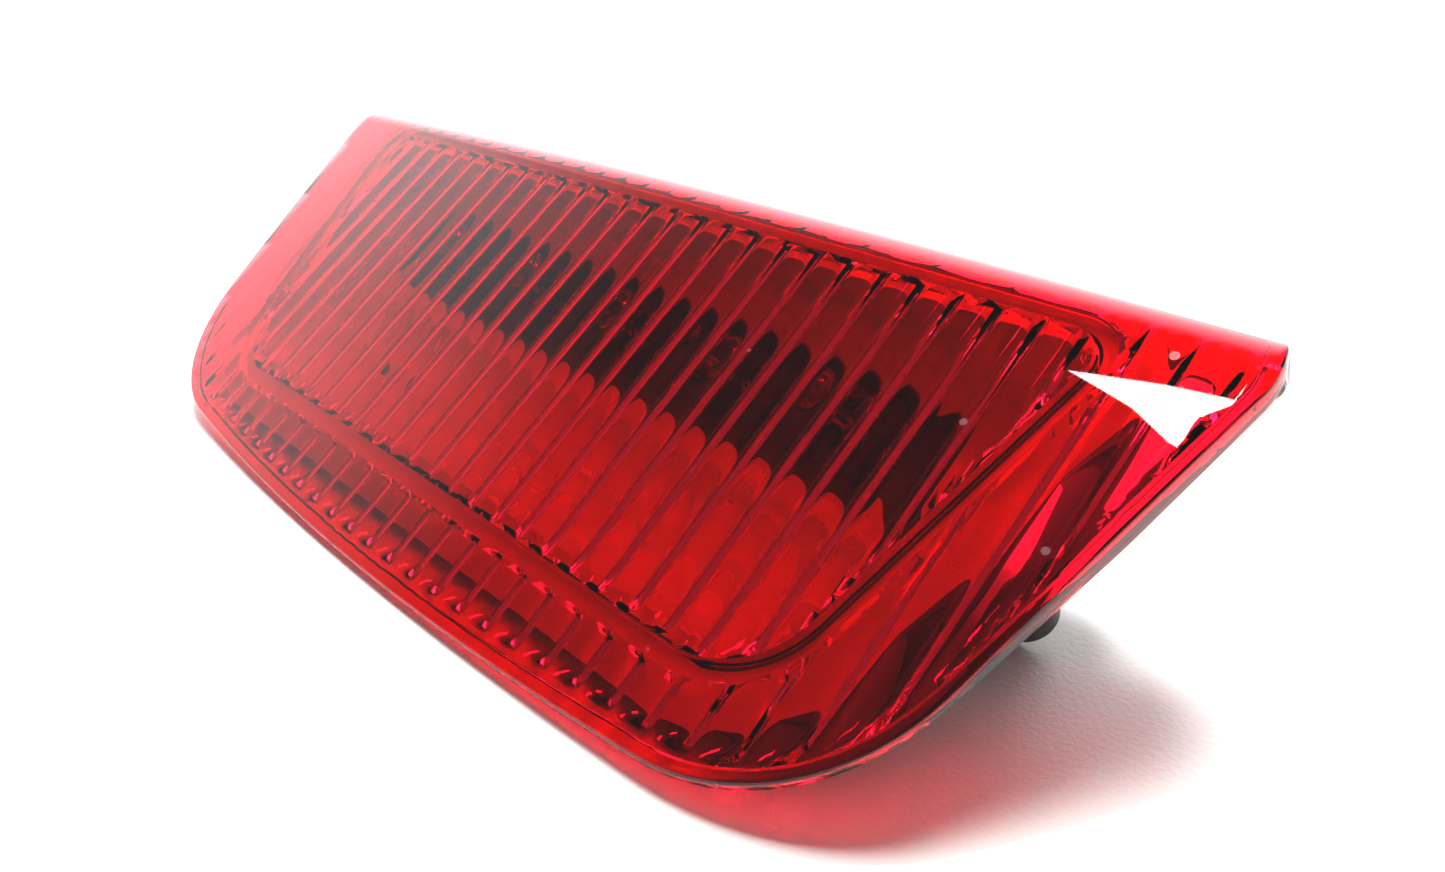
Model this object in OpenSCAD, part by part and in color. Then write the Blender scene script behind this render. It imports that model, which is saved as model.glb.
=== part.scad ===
// Third brake light: a red fluted lens over a bulb chamber, lying face up on its rim and mounting towers.
// Each part is drawn in the lamp's own axes: x along the lamp, y up the lens face from the lower edge, and
// z out of the face, so the face is at z = 0 and the chamber has negative z. seat() then lays it down.

/* [Lens] */
// Width across the top corners
lens_top_w = 244; // [238:1:260]
// Width the straight sides would have at the lower edge
lens_low_w = 198; // [196:1:210]
// Height of the face, from the lower edge to the top of the roll
lens_h = 96; // [94:1:100]
// Radius of the two lower corners
lens_low_r = 34; // [24:1:36]
// Radius of the two upper corners
lens_top_r = 10; // [8:1:14]
// Radius of the lower edge's bow
lens_bow_r = 750; // [700:10:1500]
// Wall thickness of the lens
lens_wall = 2.6; // [2.2:0.1:3]
// Depth of the rim along the lower edge
rim_d = 3.2; // [3:0.1:4]
// Depth of the rim at the sides, near the roll
rim_side_d = 6; // [5:0.5:6.5]
// Radius of the rolled top edge
roll_r = 8; // [6:0.5:9]
// Depth of the top flap, from the face
flap_d = 19; // [16:0.5:22]
// Width of one flute and its gap
flute_pitch = 7; // [6.5:0.25:8]

/* [Window] */
// Height of the rib's lower edge above the lens's lower edge
window_y = 15.8; // [15:0.2:17]
// Height of the window, over the rib
window_h = 74.2; // [73:0.2:75]
// Width of the rib at its lower edge
window_low_w = 167; // [166:1:170]
// Width of the rib at its upper edge
window_top_w = 203; // [202:1:206]
// Width of the rib's wall
rib_w = 3; // [2.6:0.1:3.2]

/* [Housing] */
// Depth of the plane where the housing meets the rib
weld_d = 7; // [6.8:0.1:7.4]
// Depth of the housing's rear face
rear_d = 35.2; // [34.8:0.1:36]
// Wall thickness of the housing
housing_wall = 2.4; // [2.4:0.1:2.6]
// Height at which the lower wall meets the rear wall
rear_y = 50; // [48:0.5:51]
// Distance between the two mounting towers
tower_gap = 176; // [175:0.5:177]
// Height of the towers above the lens's lower edge
tower_y = 60; // [58:0.5:62]
// Radius of a tower
tower_r = 5.5; // [5:0.1:5.6]
// Depth of the towers' ends, past the latch tabs, collars and shroud
tower_d = 48; // [47.5:0.5:50]
// Radius of a threaded insert's hole, for M5
insert_r = 2.1; // [2:0.05:2.3]

/* [Carrier] */
// Height of the bulb row above the lens's lower edge
bulb_y = 69; // [68.5:0.5:69.5]
// Distance between bulbs
bulb_pitch = 28; // [27:0.5:28]
// Radius of a bulb's glass
bulb_r = 4.9; // [4.6:0.1:4.9]
// Length of a bulb, with its base
bulb_len = 26.8; // [26:0.1:27]
// Width of the opening in the reflector
slot_w = 152; // [148:1:153]
// Height of the opening in the reflector
slot_h = 24; // [22:0.5:24]
// Distance of each latch from the middle
latch_x = 42; // [40:0.5:44]

/* [Hidden] */
$fn = 64;
BULBS = [1 : 5];
gap = 0.3;
eps = 0.02;
window_low_r = 20;
window_top_r = 8;
slope_tall = rear_d - weld_d - 2;
slope_run = rear_y - window_y + 1;
slope_angle = atan(slope_tall / slope_run);
slope_y = window_y - 1;
reflector_wall = 1.4;
plug_d = 36.7;
flange_t = 2.5;
flange_w = 163;
flange_h = 34;
back_d = plug_d + flange_t;
collar_r = 6.5;
collar_d = 45;
base_d = 43;
pivot_y = 87.5;
pivot_d = 41.5;
shroud_x = 66.5;
shroud_y = 76;
shroud_d = 44.7;
blade_y = 3.2;
tilt = atan((tower_d - rim_d) / (tower_y - tower_r));
tab_d = pivot_d + 5.5;
seat_y = -((pivot_y + 2.1) * cos(tilt) + tab_d * sin(tilt)) / 2;
seat_z = rim_d * cos(tilt);

// Lays the lamp down on its rim and towers
module seat() {
  translate([0, seat_y, seat_z]) rotate([tilt, 0, 0]) children();
}

// A slab of the outline, between two depths behind the face
module slab(near_d, far_d) {
  translate([0, 0, -far_d]) linear_extrude(far_d - near_d) children();
}

// A side profile, drawn as [y, -depth], run along the whole lamp
module along(length) {
  rotate([90, 0, 90]) translate([0, 0, -length / 2]) linear_extrude(length) children();
}

// A box given by its middle in x and y, its size, and the depths of its two faces
module block(x, y, w, h, near_d, far_d) {
  translate([x - w / 2, y - h / 2, -far_d]) cube([w, h, far_d - near_d]);
}

// A post along the depth
module post(x, y, r, near_d, far_d) {
  translate([x, y, -far_d]) cylinder(r = r, h = far_d - near_d);
}

// A trapezoid on y = 0 with rounded corners, grown outwards by grow
module trapezoid(low_w, top_w, h, low_r, top_r, grow) {
  lean = atan((top_w - low_w) / 2 / h);
  low_x = low_w / 2 + low_r * tan(lean) - low_r / cos(lean);
  top_x = low_w / 2 + (h - top_r) * tan(lean) - top_r / cos(lean);
  low = low_r + grow;
  top = top_r + grow;
  polygon([
    [-low_x, low_r - low], [low_x, low_r - low],
    [low_x + low * cos(lean), low_r - low * sin(lean)],
    [top_x + top * cos(lean), h - top_r - top * sin(lean)],
    [top_x, h - top_r + top], [-top_x, h - top_r + top],
    [-top_x - top * cos(lean), h - top_r - top * sin(lean)],
    [-low_x - low * cos(lean), low_r - low * sin(lean)]
  ]);
  for (side = [-1, 1]) {
    translate([side * low_x, low_r]) circle(r = low);
    translate([side * top_x, h - top_r]) circle(r = top);
  }
}

// The lens's outline, with its bowed lower edge; it runs on a little past the roll, which ends it
module lens_outline(grow) {
  intersection() {
    trapezoid(lens_low_w, lens_top_w, lens_h + 1, lens_low_r, lens_top_r, grow);
    translate([0, lens_bow_r]) circle(r = lens_bow_r + grow);
  }
}

// The rib's outline
module window_outline(grow) {
  translate([0, window_y])
    trapezoid(window_low_w, window_top_w, window_h, window_low_r, window_top_r, grow);
}

// The rib's outline grown by grow, but kept under the top flap
module collar_outline(grow) {
  intersection() {
    window_outline(grow);
    translate([-150, 0]) square([300, lens_h - lens_wall - 0.6]);
  }
}

// A rounded rectangle about the bulb row
module bulb_slot(w, h, r) {
  translate([0, bulb_y]) {
    square([w - 2 * r, h], center = true);
    square([w, h - 2 * r], center = true);
    for (x = [-1, 1], y = [-1, 1]) translate([x * (w / 2 - r), y * (h / 2 - r)]) circle(r = r);
  }
}

// The lens's side profile, drawn in by inset: straight face, rolled top edge
module roll_profile(inset, far_d) {
  r = roll_r - inset;
  translate([-20, -far_d]) square([lens_h - roll_r + 20, far_d - inset]);
  translate([-20, -far_d]) square([lens_h - inset + 20, far_d - roll_r]);
  translate([lens_h - roll_r, -roll_r]) circle(r = r);
}

// The chamber's side profile: the lower wall slopes up to the rear wall
module chamber_profile(inset, near_d, far_d) {
  in = inset / sin(slope_angle);
  polygon([
    [slope_y + in, -near_d], [slope_y + in, -weld_d - 2], [rear_y + in, -rear_d],
    [rear_y + in, -far_d - 9], [lens_h, -far_d - 9], [lens_h, -near_d]
  ]);
}

// A chamber wall of the given thickness, inset from the rib's outline
module chamber(inset, wall, far_d) {
  difference() {
    intersection() {
      slab(weld_d, far_d) window_outline(-inset);
      along(300) chamber_profile(inset, weld_d - 1, far_d);
    }
    intersection() {
      slab(weld_d - 1, far_d - wall) window_outline(-inset - wall);
      along(300) chamber_profile(inset + wall, weld_d - 2, far_d);
    }
  }
}

// Half-round flutes on the back of the face, inside the window
module window_flutes() {
  flute_rise = 1;
  flute_half = flute_pitch / 2 - 0.4;
  flute_r = (flute_half * flute_half + flute_rise * flute_rise) / 2 / flute_rise;
  intersection() {
    slab(lens_wall - eps, lens_wall + 2) window_outline(-rib_w - 0.4);
    for (i = [-13 : 13])
      translate([i * flute_pitch, window_y, flute_r - lens_wall - flute_rise])
        rotate([-90, 0, 0]) cylinder(r = flute_r, h = window_h);
  }
}

// The lens seen along its face: full width over the rim, then the flap's rounded rear corners
module flap_plan() {
  flap_w = lens_top_w - 11;
  translate([0, -10, 0]) rotate([-90, 0, 0]) linear_extrude(lens_h + 20) {
    translate([0, -5]) trapezoid(flap_w, flap_w, flap_d + 5, 1, 10, 0);
    translate([-150, -5]) square([300, rim_side_d + 5]);
  }
}

// What is cut away behind the rim, which is shallow below and deepens up the sides
module rim_cut() {
  top_y = lens_h - lens_wall;
  polygon([
    [-10, -rim_d], [25, -rim_d], [60, -rim_side_d], [top_y, -rim_side_d],
    [top_y, -flap_d - 1], [-10, -flap_d - 1]
  ]);
}

module lens() seat() color([0.78, 0.03, 0.06, 0.6]) {
  difference() {
    intersection() {
      slab(0, flap_d) lens_outline(0);
      along(300) roll_profile(0, flap_d);
      flap_plan();
    }
    intersection() {
      slab(0, flap_d + 1) lens_outline(-lens_wall);
      along(300) roll_profile(lens_wall, flap_d + 1);
    }
    along(300) rim_cut();
  }
  slab(lens_wall - eps, weld_d) difference() {
    window_outline(0);
    window_outline(-rib_w);
  }
  window_flutes();
}

module housing() seat() color([0.16, 0.16, 0.17]) {
  difference() {
    union() {
      chamber(0, housing_wall, rear_d);
      slab(weld_d, weld_d + 1.5) difference() {
        collar_outline(6);
        window_outline(-1);
      }
      for (side = [-1, 1]) post(side * tower_gap / 2, tower_y, tower_r, rear_d - 1, tower_d);
      for (side = [-1, 1]) block(side * latch_x, 89.9, 7, 2.2, rear_d - 2, 39);
    }
    slab(rear_d - 5, rear_d + 1) bulb_slot(slot_w + 3.2, slot_h + 2.2, 9);
    for (side = [-1, 1]) post(side * tower_gap / 2, tower_y, 3.3, tower_d - 10, tower_d + 1);
    vent_place() translate([0, 0, -6]) cylinder(r = 2.5, h = 8);
  }
}

module reflector() seat() color([0.85, 0.85, 0.87]) difference() {
  chamber(housing_wall + 0.5, reflector_wall, rear_d - housing_wall);
  slab(rear_d - 8, rear_d + 1) bulb_slot(slot_w, slot_h, 9);
  vent_place() translate([0, 0, -9]) cylinder(r = 2.5, h = 8);
}

module body_gasket() seat() color([0.08, 0.08, 0.08])
  slab(weld_d + 1.5, weld_d + 4.5) difference() {
    collar_outline(5.6);
    window_outline(0.4);
  }

module threaded_inserts() seat() color([0.75, 0.6, 0.25])
  for (side = [-1, 1]) difference() {
    post(side * tower_gap / 2, tower_y, 3.3, tower_d - 10, tower_d);
    post(side * tower_gap / 2, tower_y, insert_r, tower_d - 11, tower_d + 1);
  }

// The breather's place in the middle of the sloping lower wall
module vent_place() {
  translate([-40, slope_y + slope_run / 2, -weld_d - 2 - slope_tall / 2])
    rotate([180 - slope_angle, 0, 0]) children();
}

module vent_cap() seat() color([0.1, 0.1, 0.1]) vent_place() {
  cylinder(r = 5, h = 3);
  translate([0, 0, -2]) cylinder(r = 2.4, h = 3);
}

// Where each bulb stands along the lamp
function bulb_x(i) = (i - 3) * bulb_pitch;

module carrier() seat() color([0.12, 0.11, 0.11]) difference() {
  union() {
    slab(33.4, plug_d + 1) difference() {
      bulb_slot(slot_w + 2, slot_h + 1, 8.4);
      bulb_slot(slot_w - 1.2, slot_h - 2.2, 6.8);
    }
    slab(plug_d, back_d) bulb_slot(flange_w, flange_h, 6);
    for (i = BULBS) post(bulb_x(i), bulb_y, collar_r, 27, collar_d);
    for (side = [-1, 1], ear = [-1, 1])
      block(side * latch_x + ear * 6.35, 84.7, 2, 9.2, plug_d + 0.5, pivot_d + 2.1);
  }
  for (i = BULBS) {
    post(bulb_x(i), bulb_y, bulb_r + 0.4, 26, 35.6);
    block(bulb_x(i), bulb_y, 10.2, 3.6, 35, base_d + gap);
    block(bulb_x(i), bulb_y, 3.4, 16, back_d, back_d + 0.8);
  }
  for (side = [-1, 1]) block(side * latch_x, 86.1, 10.7, 3, plug_d - 1, back_d + 1);
  for (side = [-1, 1])
    translate([side * latch_x - 9, pivot_y, -pivot_d]) rotate([0, 90, 0]) cylinder(r = 1, h = 18);
}

module carrier_seal() seat() color([0.05, 0.05, 0.05])
  slab(rear_d + gap, plug_d) difference() {
    bulb_slot(flange_w - 1, flange_h - 3.2, 5.5);
    bulb_slot(slot_w + 4.4, slot_h + 3.2, 8);
  }

// A strip on the carrier's back with one finger to each bulb; side is 1 above the bulbs and -1 below
module contact_strip(side) {
  block(3, bulb_y + side * 9.5, 126.6, 3, back_d, back_d + 0.6);
  for (i = BULBS) block(bulb_x(i), bulb_y + side * 5, 3, 6.2, back_d, back_d + 0.6);
}

module contact_strip_live() seat() color([0.8, 0.65, 0.3]) contact_strip(1);

module contact_strip_earth() seat() color([0.8, 0.65, 0.3]) {
  contact_strip(-1);
  block(65.15, 66.3, 2.3, 17.5, back_d, back_d + 0.6);
}

module connector_shroud() seat() color([0.2, 0.2, 0.21]) difference() {
  block(shroud_x + 7, shroud_y, 14, 15, back_d, 50.2);
  block(shroud_x + 9, shroud_y, 14, 11.4, 40.8, 48.6);
  for (side = [-1, 1]) block(shroud_x, shroud_y + side * blade_y, 8, 2.9, shroud_d - 0.45, shroud_d + 0.45);
}

// A blade in the connector, with a leg down to its strip
module terminal(side) {
  block(71.1, shroud_y + side * blade_y, 13.8, 2.8, shroud_d - 0.4, shroud_d + 0.4);
  block(64.6, shroud_y + side * blade_y, 0.8, 2.8, back_d + 0.6, shroud_d + 0.4);
}

module terminal_live() seat() color([0.8, 0.65, 0.3]) terminal(1);

module terminal_earth() seat() color([0.8, 0.65, 0.3]) terminal(-1);

module latch_pins() seat() color([0.7, 0.7, 0.72])
  for (side = [-1, 1]) translate([side * latch_x - 7.35, pivot_y, -pivot_d])
    rotate([0, 90, 0]) cylinder(r = 1, h = 14.7);

// A lever with no catch: its short end lies along the housing's lug, its long end is the finger tab
module latch(side) {
  translate([side * latch_x, pivot_y, -pivot_d]) difference() {
    union() {
      translate([-5, -0.9, -5.5]) cube([10, 1.8, 10]);
      translate([-5, 0, 0]) rotate([0, 90, 0]) cylinder(r = 2, h = 10);
      translate([-5, -0.9, -5.5]) cube([10, 3, 1.4]);
    }
    translate([-6, 0, 0]) rotate([0, 90, 0]) cylinder(r = 1.05, h = 12);
  }
}

module latch_left() seat() color([0.2, 0.2, 0.21]) latch(-1);

module latch_right() seat() color([0.2, 0.2, 0.21]) latch(1);

// Capless bulb: domed glass on a flat pinched base
module bulb_glass(i) seat() color([0.9, 0.92, 0.95, 0.5]) translate([bulb_x(i), bulb_y, 0]) {
  tip_d = base_d - bulb_len;
  dome_d = tip_d + bulb_r;
  wall = 0.6;
  difference() {
    union() {
      post(0, 0, bulb_r, dome_d, 33);
      translate([0, 0, -dome_d]) sphere(r = bulb_r);
      translate([0, 0, -35.4]) cylinder(r1 = 3.2, r2 = bulb_r, h = 2.4);
      block(0, 0, 9.6, 2.4, 34, base_d);
    }
    post(0, 0, bulb_r - wall, dome_d, 32.6);
    translate([0, 0, -dome_d]) sphere(r = bulb_r - wall);
  }
}

// Two leads with the filament between them, and the folded wires on the base
module bulb_wires(i) seat() color([0.6, 0.5, 0.4]) translate([bulb_x(i), bulb_y, 0]) {
  filament_d = 26;
  for (side = [-1, 1]) {
    post(side * 2.2, 0, 0.3, filament_d, 32.6);
    block(side * 2.6, side * 1.35, 2.2, 0.3, 36.5, 42.5);
  }
  translate([-2.5, 0, -filament_d]) rotate([0, 90, 0]) cylinder(r = 0.5, h = 5);
}

lens();
housing();
reflector();
body_gasket();
threaded_inserts();
vent_cap();
carrier();
carrier_seal();
contact_strip_live();
contact_strip_earth();
connector_shroud();
terminal_live();
terminal_earth();
latch_pins();
latch_left();
latch_right();
bulb_glass(1);  // bulb_glass_1
bulb_glass(2);  // bulb_glass_2
bulb_glass(3);  // bulb_glass_3
bulb_glass(4);  // bulb_glass_4
bulb_glass(5);  // bulb_glass_5
bulb_wires(1);  // bulb_wires_1
bulb_wires(2);  // bulb_wires_2
bulb_wires(3);  // bulb_wires_3
bulb_wires(4);  // bulb_wires_4
bulb_wires(5);  // bulb_wires_5
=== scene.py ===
"""Third brake light: dresses the lamp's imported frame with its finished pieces, finishes and studio."""

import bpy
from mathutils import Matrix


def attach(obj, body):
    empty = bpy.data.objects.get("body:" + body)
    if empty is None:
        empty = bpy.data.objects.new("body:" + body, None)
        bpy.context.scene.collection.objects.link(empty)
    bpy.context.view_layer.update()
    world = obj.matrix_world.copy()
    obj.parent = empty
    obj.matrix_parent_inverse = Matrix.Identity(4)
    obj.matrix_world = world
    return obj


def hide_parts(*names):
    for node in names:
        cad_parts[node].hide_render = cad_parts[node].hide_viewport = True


bl_info = {
    "name": "Third Brake Light",
    "version": (1, 0, 0),
    "blender": (4, 5, 0),
    "location": "3D View > Sidebar > Brake Light",
    "description": "Builds a fluted third brake light on its mechanical frame",
    "category": "Object",
}

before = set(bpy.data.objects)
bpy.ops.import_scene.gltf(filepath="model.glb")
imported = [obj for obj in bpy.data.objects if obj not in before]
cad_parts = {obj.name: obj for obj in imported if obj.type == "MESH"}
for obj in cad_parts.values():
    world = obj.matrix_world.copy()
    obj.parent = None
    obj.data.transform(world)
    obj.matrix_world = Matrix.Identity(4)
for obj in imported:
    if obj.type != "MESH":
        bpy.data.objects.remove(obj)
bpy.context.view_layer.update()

from math import atan, cos, degrees, pi, radians, sin, sqrt, tan

import bmesh
import bpy
from bpy.props import FloatProperty, FloatVectorProperty, PointerProperty
from mathutils import Matrix, Vector
from mathutils.geometry import delaunay_2d_cdt

MM = 0.001

# The lamp's own axes, in millimetres: x along it, y up the face, depth behind the face.
# It lies on its lower rim and on the ends of its two towers.
TOWER_D = 48
TOWER_Y = 60
TOWER_R = 5.5
RIM_D = 3.2
SIDE_RIM_D = 6.0
TAB_TOP_Y = 87.5 + 2.1
TAB_D = 47
TILT = atan((TOWER_D - RIM_D) / (TOWER_Y - TOWER_R))
SEAT_Y = -(TAB_TOP_Y * cos(TILT) + TAB_D * sin(TILT)) / 2
SEAT = Matrix.Translation((0, SEAT_Y * MM, RIM_D * cos(TILT) * MM)) \
    @ Matrix.Rotation(TILT, 4, "X") @ Matrix.Scale(MM, 4)

# The lens: its outline, its face's curve up the lamp, the roll along its top and the flap behind it
LENS_LOW_W = 197.4
LENS_LEAN = atan(0.2366)
LENS_CORNER_R = 36.6
BOW_R = 723.0
FACE_MID_Y = 48
FACE_R = 3200
ROLL_Y = 88
ROLL_R = 8.0
FLAP_HALF_W = 116.5
FLAP_CORNER_R = 8
FLAP_END = ROLL_Y + 4 * pi + 11

# The window that the weld rib follows
WINDOW_Y = 15.8
WINDOW_H = 74.2
WINDOW_LOW_W = 167
WINDOW_TOP_W = 203
WINDOW_LOW_R = 20
WINDOW_TOP_R = 8
RIB_FOOT_D = 6.95

BULBS = range(1, 6)
BULB_Y = 69.0
BULB_PITCH = 28.0

# The mirror coat ends just behind the front of the housing's flange
COAT_D = 7.3


def seat(x, y, depth):
    """A point in the lamp's own millimetres, laid down in the row frame."""
    return SEAT @ Vector((x, y, -depth))


def seat_turn():
    """The lamp's tilt, as a rotation."""
    return Matrix.Rotation(TILT, 3, "X")


# ---------------------------------------------------------------- settings

class LensSettings(bpy.types.PropertyGroup):
    wall: FloatProperty(name="Wall", description="Thickness of the lens, in millimetres",
                        default=2.6, min=2, max=3.2)
    crown: FloatProperty(name="Crown", default=4200, min=2500,
                         description="Radius of the face's curve along the lamp, in millimetres")
    pitch: FloatProperty(name="Flute pitch", description="Width of a flute and its gap, in millimetres",
                         default=7, min=6, max=8)
    rise: FloatProperty(name="Flute rise", description="How far a flute stands off the wall, in millimetres",
                        default=1.25, min=0.5, max=2)
    colour: FloatVectorProperty(name="Lens colour", description="Colour of the clear red plastic",
                                subtype="COLOR", default=(0.97, 0.004, 0.026), size=3, min=0, max=1)


class FinishSettings(bpy.types.PropertyGroup):
    housing: FloatVectorProperty(name="Housing", description="Colour of the housing plastic", subtype="COLOR",
                                 default=(0.022, 0.022, 0.024), size=3, min=0, max=1)
    carrier: FloatVectorProperty(name="Carrier", description="Colour of the bulb carrier", subtype="COLOR",
                                 default=(0.030, 0.026, 0.025), size=3, min=0, max=1)
    connector: FloatVectorProperty(name="Connector", description="Colour of the connector and levers",
                                   subtype="COLOR", default=(0.115, 0.118, 0.125), size=3, min=0, max=1)
    metal: FloatVectorProperty(name="Mirror coat", description="Colour of the metallised reflector",
                               subtype="COLOR", default=(0.90, 0.90, 0.91), size=3, min=0, max=1)
    dust: FloatProperty(name="Dust", description="How much dust and handling the surfaces carry",
                        default=1.0, min=0, max=2)


class StageSettings(bpy.types.PropertyGroup):
    lens_mm: FloatProperty(name="Camera lens", description="Focal length on a 36 mm sensor",
                           default=27.29, min=10, max=200)
    room: FloatProperty(name="Room light", description="Brightness of the surroundings", default=1.0, min=0)
    key: FloatProperty(name="Key light", description="Power of the main soft light",
                       subtype="POWER", default=36, min=0)


# ---------------------------------------------------------------- shared shader effects

def group(name, inputs, outputs):
    """A new shader node group with float inputs and outputs; gives its tree, input node and output node."""
    tree = bpy.data.node_groups.new(name, "ShaderNodeTree")
    for title, value in inputs:
        socket = tree.interface.new_socket(name=title, in_out="INPUT", socket_type="NodeSocketFloat")
        socket.default_value = value
    for title in outputs:
        tree.interface.new_socket(name=title, in_out="OUTPUT", socket_type="NodeSocketFloat")
    return tree, tree.nodes.new("NodeGroupInput"), tree.nodes.new("NodeGroupOutput")


def sums(tree, operation, a, b=None, clamp=False):
    """A Math node; a and b are sockets or numbers."""
    node = tree.nodes.new("ShaderNodeMath")
    node.operation = operation
    node.use_clamp = clamp
    for slot, value in ((0, a), (1, b)):
        if value is None:
            continue
        if isinstance(value, (int, float)):
            node.inputs[slot].default_value = value
        else:
            tree.links.new(value, node.inputs[slot])
    return node.outputs[0]


def ramp(tree, value, low, high, to_low=0.0, to_high=1.0):
    """A smooth step of value from low to high."""
    node = tree.nodes.new("ShaderNodeMapRange")
    node.interpolation_type = "SMOOTHSTEP"
    for title, number in (("From Min", low), ("From Max", high), ("To Min", to_low), ("To Max", to_high)):
        node.inputs[title].default_value = number
    tree.links.new(value, node.inputs["Value"])
    return node.outputs["Result"]


def noise(tree, where, scale, detail=2.0, rough=0.5, stretch=None):
    """A noise value; where is a vector socket, scale is a number or a socket."""
    if stretch:
        mapping = tree.nodes.new("ShaderNodeMapping")
        mapping.inputs["Scale"].default_value = stretch
        tree.links.new(where, mapping.inputs["Vector"])
        where = mapping.outputs["Vector"]
    node = tree.nodes.new("ShaderNodeTexNoise")
    node.inputs["Detail"].default_value = detail
    node.inputs["Roughness"].default_value = rough
    if isinstance(scale, (int, float)):
        node.inputs["Scale"].default_value = scale
    else:
        tree.links.new(scale, node.inputs["Scale"])
    tree.links.new(where, node.inputs["Vector"])
    return node.outputs["Fac"]


def object_place(tree):
    return tree.nodes.new("ShaderNodeTexCoord").outputs["Object"]


def grain_group():
    """Spark-eroded mould texture: a height, and a patchy value for the gloss."""
    tree, inlet, outlet = group("Moulded Grain", (("Scale", 2600.0), ("Depth", 1.0)), ("Height", "Patch"))
    where = object_place(tree)
    fine = noise(tree, where, inlet.outputs["Scale"], 3.0, 0.6)
    coarse = noise(tree, where, sums(tree, "MULTIPLY", inlet.outputs["Scale"], 0.22), 2.0)
    mixed = sums(tree, "ADD", sums(tree, "MULTIPLY", fine, 0.7), sums(tree, "MULTIPLY", coarse, 0.3))
    tree.links.new(sums(tree, "MULTIPLY", mixed, inlet.outputs["Depth"]), outlet.inputs["Height"])
    tree.links.new(ramp(tree, noise(tree, where, 70.0, 3.0), 0.3, 0.7), outlet.inputs["Patch"])
    return tree


def dust_group():
    """Settled dust: scattered specks and a thin film on what faces up."""
    tree, inlet, outlet = group("Settled Dust", (("Amount", 1.0), ("Specks", 260.0)), ("Specks", "Film"))
    where = object_place(tree)
    cells = tree.nodes.new("ShaderNodeTexVoronoi")
    tree.links.new(where, cells.inputs["Vector"])
    tree.links.new(inlet.outputs["Specks"], cells.inputs["Scale"])
    near = ramp(tree, cells.outputs["Distance"], 0.05, 0.13, 1.0, 0.0)
    apart = tree.nodes.new("ShaderNodeSeparateColor")
    tree.links.new(cells.outputs["Color"], apart.inputs["Color"])
    some = ramp(tree, apart.outputs[0], 0.86, 0.9)
    specks = sums(tree, "MULTIPLY", near, some)
    tree.links.new(sums(tree, "MULTIPLY", specks, inlet.outputs["Amount"], True), outlet.inputs["Specks"])
    facing = tree.nodes.new("ShaderNodeNewGeometry")
    split = tree.nodes.new("ShaderNodeSeparateXYZ")
    tree.links.new(facing.outputs["Normal"], split.inputs["Vector"])
    up = ramp(tree, split.outputs["Z"], 0.1, 0.9)
    patchy = ramp(tree, noise(tree, where, 55.0, 6.0, 0.65), 0.42, 0.72)
    film = sums(tree, "MULTIPLY", sums(tree, "MULTIPLY", up, patchy), inlet.outputs["Amount"], True)
    tree.links.new(film, outlet.inputs["Film"])
    return tree


def scratch_group():
    """Fine scratches in two directions."""
    tree, inlet, outlet = group("Fine Scratches", (("Amount", 1.0),), ("Lines",))
    where = object_place(tree)
    lines = None
    for turn, stretch in ((0.5, (60.0, 1400.0, 1400.0)), (-0.9, (1300.0, 50.0, 1300.0)),
                          (2.1, (45.0, 1500.0, 60.0))):
        mapping = tree.nodes.new("ShaderNodeMapping")
        mapping.inputs["Rotation"].default_value = (0.3 * turn, 0.2, turn)
        tree.links.new(where, mapping.inputs["Vector"])
        thin = noise(tree, mapping.outputs["Vector"], 1.0, 1.0, 0.5, stretch)
        line = ramp(tree, sums(tree, "ABSOLUTE", sums(tree, "SUBTRACT", thin, 0.5)), 0.0, 0.006, 1.0, 0.0)
        patch = ramp(tree, noise(tree, mapping.outputs["Vector"], 38.0, 2.0), 0.56, 0.68)
        line = sums(tree, "MULTIPLY", line, patch)
        lines = line if lines is None else sums(tree, "MAXIMUM", lines, line)
    tree.links.new(sums(tree, "MULTIPLY", lines, inlet.outputs["Amount"], True), outlet.inputs["Lines"])
    return tree


def pillow_group():
    """A reflector's pressed facets: rows of shallow pillows across and up the lamp."""
    tree, inlet, outlet = group("Pressed Facets", (("Width", 0.014), ("Height", 0.019)), ("Height",))
    turned = tree.nodes.new("ShaderNodeMapping")
    turned.inputs["Rotation"].default_value = (-TILT, 0, 0)
    tree.links.new(object_place(tree), turned.inputs["Vector"])
    split = tree.nodes.new("ShaderNodeSeparateXYZ")
    tree.links.new(turned.outputs["Vector"], split.inputs["Vector"])
    waves = []
    for axis, size in (("X", "Width"), ("Y", "Height")):
        turns = sums(tree, "DIVIDE", sums(tree, "MULTIPLY", split.outputs[axis], pi), inlet.outputs[size])
        waves.append(sums(tree, "ABSOLUTE", sums(tree, "SINE", turns)))
    tree.links.new(sums(tree, "MULTIPLY", *waves), outlet.inputs["Height"])
    return tree


SHARED = {}


def shared(name, maker):
    """The shared effect of this name, built the first time it is asked for."""
    if name not in SHARED:
        SHARED[name] = maker()
    return SHARED[name]


def effect(tree, name, maker, **values):
    """Places a shared effect in a material with this material's own values."""
    node = tree.nodes.new("ShaderNodeGroup")
    node.node_tree = shared(name, maker)
    for title, value in values.items():
        node.inputs[title].default_value = value
    return node.outputs


def blend_colour(tree, factor, a, b):
    """Mixes two colours; a is a colour or a socket, b is a colour."""
    node = tree.nodes.new("ShaderNodeMix")
    node.data_type = "RGBA"
    for socket, value in ((node.inputs[6], a), (node.inputs[7], b)):
        if hasattr(value, "is_output"):
            tree.links.new(value, socket)
        else:
            socket.default_value = (*value, 1)
    tree.links.new(factor, node.inputs[0])
    return node.outputs[2]


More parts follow.
